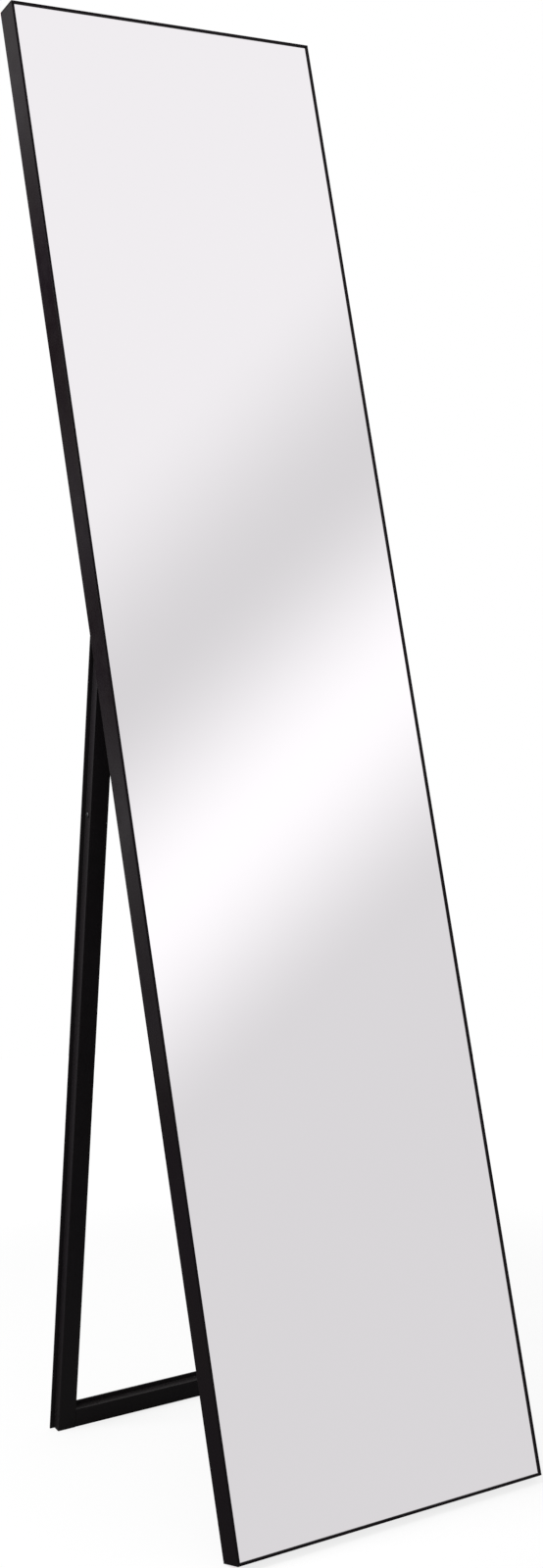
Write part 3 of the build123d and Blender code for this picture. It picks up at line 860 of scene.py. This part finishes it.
class MIRROR_OT_hinges(MirrorOperator, bpy.types.Operator):
    """Makes the hinge brackets, the pivot screws and their washers"""

    bl_idname = "mirror.hinges"
    bl_label = "Hinges"

    def execute(self, context):
        edges = self.edges(context)
        steel = self.finish(context, "black_sheet_steel")
        for side in ("left", "right"):
            node = f"{side}_hinge_bracket"
            piece = finished(f"{side}_bracket", soften(merged_copy(node), edges.sheet_edge), [steel])
            fitted(piece, "mirror", "bracket_steel", node)
            node = f"{side}_pivot_screw"
            piece = fastened(f"{side}_pivot", node, stand_ways, socket_screw, edges.pivot_pitch,
                             edges.screw_steps, self.finish(context, "black_oxide_steel"))
            fitted(piece, "stand", "screw_steel", node)
        shell = soften(merged_copy("pivot_washers"), WASHER_EDGE_SHARE * edges.sheet_edge)
        washers = finished("washers", shell, [self.finish(context, "washer_nylon")])
        fitted(washers, "stand", "washer_nylon", "pivot_washers")
        return {"FINISHED"}


class MIRROR_OT_stand(MirrorOperator, bpy.types.Operator):
    """Coats the legs and the crossbar and rounds their edges"""

    bl_idname = "mirror.stand"
    bl_label = "Stand"

    def execute(self, context):
        tubes = {
            "left_leg": ("left_stand_leg", "stand_coat_upright"),
            "right_leg": ("right_stand_leg", "stand_coat_upright"),
            "crossbar": ("stand_crossbar", "stand_coat_across"),
        }
        for node, (name, coat) in tubes.items():
            shell = soften(merged_copy(node, ROUND_TUBE_ANGLE), self.edges(context).stand_edge)
            piece = finished(name, shell, [self.finish(context, coat)])
            fitted(piece, "stand", "stand_coating", node)
        return {"FINISHED"}


class MIRROR_OT_stand_insides(MirrorOperator, bpy.types.Operator):
    """Makes the cast hinge blocks and corner keys inside the stand"""

    bl_idname = "mirror.stand_insides"
    bl_label = "Hinge blocks and keys"

    def execute(self, context):
        for side in ("left", "right"):
            for kind, name in (("hinge_block", "block"), ("stand_key", "key")):
                node = f"{side}_{kind}"
                shell = soften(merged_copy(node), self.edges(context).cast_edge)
                piece = finished(f"{side}_{name}", shell, [self.finish(context, "bare_casting")])
                fitted(piece, "stand", "die_cast", node)
        return {"FINISHED"}


class MIRROR_OT_screws(MirrorOperator, bpy.types.Operator):
    """Makes the pan-head screws, with domed heads, cross recesses and threads"""

    bl_idname = "mirror.screws"
    bl_label = "Screws"

    def execute(self, context):
        edges = self.edges(context)
        sets = {
            "connector_screws": ("frame_corner_screws", "mirror", mirror_ways),
            "bracket_screws": ("hinge_bracket_screws", "mirror", mirror_ways),
            "block_screws": ("leg_side_screws", "stand", stand_ways),
            "stand_key_screws": ("stand_corner_screws", "stand", stand_ways),
        }
        for node, (name, body, ways) in sets.items():
            piece = fastened(name, node, ways, cross_screw, edges.small_pitch, edges.screw_steps,
                             self.finish(context, "black_oxide_steel"))
            fitted(piece, body, "screw_steel", node)
        return {"FINISHED"}


class MIRROR_OT_stage(MirrorOperator, bpy.types.Operator):
    """Sets up the floor, the soft studio light and the camera"""

    bl_idname = "mirror.stage"
    bl_label = "Stage"

    def execute(self, context):
        stage = context.scene.standing_mirror_stage
        make_floor(stage)
        make_world()
        make_lamp(stage)
        make_camera(stage)
        context.scene.view_settings.view_transform = "Standard"
        return {"FINISHED"}


def make_floor(stage):
    """A pale round floor that takes the mirror's shadow and is white to the camera elsewhere."""
    shell = bmesh.new()
    bmesh.ops.create_circle(shell, cap_ends=True, segments=64, radius=stage.floor_radius)
    mesh = bpy.data.meshes.new("floor")
    shell.to_mesh(mesh)
    shell.free()
    floor = bpy.data.objects.new("floor", mesh)
    bpy.context.scene.collection.objects.link(floor)
    material = bpy.data.materials.new("pale_floor")
    material.use_nodes = True
    tree = material.node_tree
    tree.nodes.clear()
    diffuse = add_node(tree, "ShaderNodeBsdfDiffuse", {"Color": rgba(stage.floor_color)})
    path = add_node(tree, "ShaderNodeLightPath").outputs
    coordinates = add_node(tree, "ShaderNodeTexCoord").outputs["Object"]
    out = add_node(tree, "ShaderNodeVectorMath", {0: coordinates}, operation="LENGTH").outputs["Value"]
    white = ranged(tree, out, 0.4 * stage.shadow_reach, stage.shadow_reach, stage.floor_lift, 1.0)
    place = add_node(tree, "ShaderNodeSeparateXYZ", {0: coordinates}).outputs
    glow_full, glow_end = -0.34, -0.23
    ahead = ranged(tree, place["Y"], glow_full, glow_end, stage.floor_glow, 0.0)
    seen = math_node(tree, "MULTIPLY", path["Is Camera Ray"], white)
    mirrored = math_node(tree, "MULTIPLY", path["Is Glossy Ray"], ahead)
    lift = add_node(tree, "ShaderNodeEmission", {"Strength": math_node(tree, "ADD", seen, mirrored)})
    both = add_node(tree, "ShaderNodeAddShader", {0: diffuse.outputs[0], 1: lift.outputs[0]})
    add_node(tree, "ShaderNodeOutputMaterial", {"Surface": both.outputs[0]})
    mesh.materials.append(material)


def level_ramp(tree, value, low, high, levels):
    """A grey level for each value from low to high, eased from stop to stop."""
    share = add_node(tree, "ShaderNodeMapRange", {"Value": value, "From Min": low, "From Max": high})
    stops = [((place - low) / (high - low), level) for place, level in levels]
    made = add_node(tree, "ShaderNodeValToRGB", {"Fac": share.outputs[0]})
    ramp = made.color_ramp
    ramp.interpolation = "EASE"
    while len(ramp.elements) < len(stops):
        ramp.elements.new(1.0)
    for element, (place, level) in zip(ramp.elements, stops):
        element.position = place
        element.color = (level, level, level, 1.0)
    return made.outputs[0]


def make_world():
    """A white room to the camera, and soft greys for what the mirror and the coat reflect."""
    world = bpy.data.worlds.new("studio")
    world.use_nodes = True
    world.cycles.sampling_method = "NONE"
    bpy.context.scene.world = world
    tree = world.node_tree
    tree.nodes.clear()
    way = add_node(tree, "ShaderNodeTexCoord").outputs["Generated"]
    parts = add_node(tree, "ShaderNodeSeparateXYZ", {0: way}).outputs

    # In front, grey rises and falls across a slanting band, which is white in its middle
    band_normal = (0.528339, 0.0, -0.849034)
    slant = add_node(tree, "ShaderNodeVectorMath", {0: way, 1: band_normal}, operation="DOT_PRODUCT")
    levels = ((-0.180, 0.936), (-0.099, 0.732), (-0.014, 1.095), (0.071, 0.7505), (0.165, 0.742))
    front = level_ramp(tree, slant.outputs["Value"], -0.2, 0.2, levels)

    # Behind, paler and darker parts of the room lie one above the other
    levels = (
        (-0.360, 0.22), (-0.300, 0.44), (-0.246, 0.62), (-0.205, 0.25), (-0.165, 0.53), (-0.130, 1.60),
        (-0.105, 1.11), (-0.075, 0.03), (-0.045, 0.03), (-0.020, 0.03), (0.005, 0.90), (0.030, 0.93),
        (0.060, 0.07), (0.100, 0.03), (0.140, 0.03), (0.170, 0.46), (0.200, 1.42), (0.240, 1.11),
        (0.450, 0.90),
    )
    back = level_ramp(tree, parts["Z"], -1.0, 1.0, levels)
    side_way, back_way = 0.0, 0.35
    behind = ranged(tree, parts["Y"], side_way, back_way, 0.0, 1.0)
    mirrored = mix_color(tree, behind, front, back)

    # The room's own light is even, and stronger on the left, where the lamp hangs
    light = level_ramp(tree, parts["X"], -1.0, 1.0, ((-1.0, 0.75), (0.0, 0.45), (1.0, 0.45)))

    path = add_node(tree, "ShaderNodeLightPath").outputs
    sharp = math_node(tree, "MAXIMUM", path["Is Glossy Ray"], path["Is Transmission Ray"])
    unseen = mix_color(tree, sharp, light, mirrored)
    color = mix_color(tree, path["Is Camera Ray"], unseen, (1.0, 1.0, 1.0, 1.0))
    background = add_node(tree, "ShaderNodeBackground", {"Color": color, "Strength": 1.0})
    add_node(tree, "ShaderNodeOutputWorld", {"Surface": background.outputs[0]})


def make_lamp(stage):
    """A large soft lamp on the left, level with the mirror's upper part."""
    data = bpy.data.lights.new("soft_lamp", "AREA")
    data.shape = "DISK"
    data.size = stage.lamp_size
    data.energy = stage.lamp_power
    lamp = bpy.data.objects.new("soft_lamp", data)
    bpy.context.scene.collection.objects.link(lamp)
    lamp.rotation_mode = "QUATERNION"
    aim = Vector((1.0, 0.0, -0.25))
    lamp.rotation_quaternion = aim.to_track_quat("-Z", "Y")
    lamp.location = stage.lamp_place
    lamp.visible_camera = False


def make_camera(stage):
    """A camera at the fitted place, looking a little down along its azimuth."""
    data = bpy.data.cameras.new("camera")
    data.lens = stage.lens
    sensor_millimetres = 36.0
    data.sensor_width = sensor_millimetres
    data.shift_x, data.shift_y = stage.shift
    camera = bpy.data.objects.new("camera", data)
    bpy.context.scene.collection.objects.link(camera)
    level = math.cos(stage.elevation)
    back = Vector((math.sin(stage.azimuth) * level, -math.cos(stage.azimuth) * level,
                   math.sin(stage.elevation)))
    camera.rotation_mode = "QUATERNION"
    camera.rotation_quaternion = (-back).to_track_quat("-Z", "Y")
    camera.location = stage.camera_place
    bpy.context.scene.camera = camera


class MIRROR_PT_panel(bpy.types.Panel):
    """Lists the mirror's pieces and settings"""

    bl_idname = "MIRROR_PT_panel"
    bl_label = "Standing Mirror"
    bl_space_type = "VIEW_3D"
    bl_region_type = "UI"
    bl_category = "Mirror"

    def draw(self, context):
        for operator in operators:
            self.layout.operator(operator.bl_idname)
        for settings in (context.scene.standing_mirror_finishes, context.scene.standing_mirror_edges,
                         context.scene.standing_mirror_stage):
            box = self.layout.box()
            for name in settings.bl_rna.properties.keys():
                if name not in ("name", "rna_type"):
                    box.prop(settings, name)


operators = (
    MIRROR_OT_frame_rails, MIRROR_OT_glass, MIRROR_OT_backing, MIRROR_OT_corner_connectors,
    MIRROR_OT_hinges, MIRROR_OT_stand, MIRROR_OT_stand_insides, MIRROR_OT_screws, MIRROR_OT_stage,
)
settings_groups = {
    "standing_mirror_finishes": MirrorFinishes,
    "standing_mirror_edges": MirrorEdges,
    "standing_mirror_stage": MirrorStage,
}


def register():
    """Adds the settings, the operators and the panel to Blender."""
    for group in settings_groups.values():
        bpy.utils.register_class(group)
    for operator in operators:
        bpy.utils.register_class(operator)
    bpy.utils.register_class(MIRROR_PT_panel)
    for name, group in settings_groups.items():
        setattr(bpy.types.Scene, name, bpy.props.PointerProperty(type=group))


def unregister():
    """Takes them out again."""
    for name in settings_groups:
        delattr(bpy.types.Scene, name)
    bpy.utils.unregister_class(MIRROR_PT_panel)
    for operator in reversed(operators):
        bpy.utils.unregister_class(operator)
    for group in reversed(list(settings_groups.values())):
        bpy.utils.unregister_class(group)


def main():
    """Makes every piece and the stage."""
    register()
    for operator in operators:
        group, name = operator.bl_idname.split(".")
        getattr(getattr(bpy.ops, group), name)()


if __name__ == "__main__":
    main()
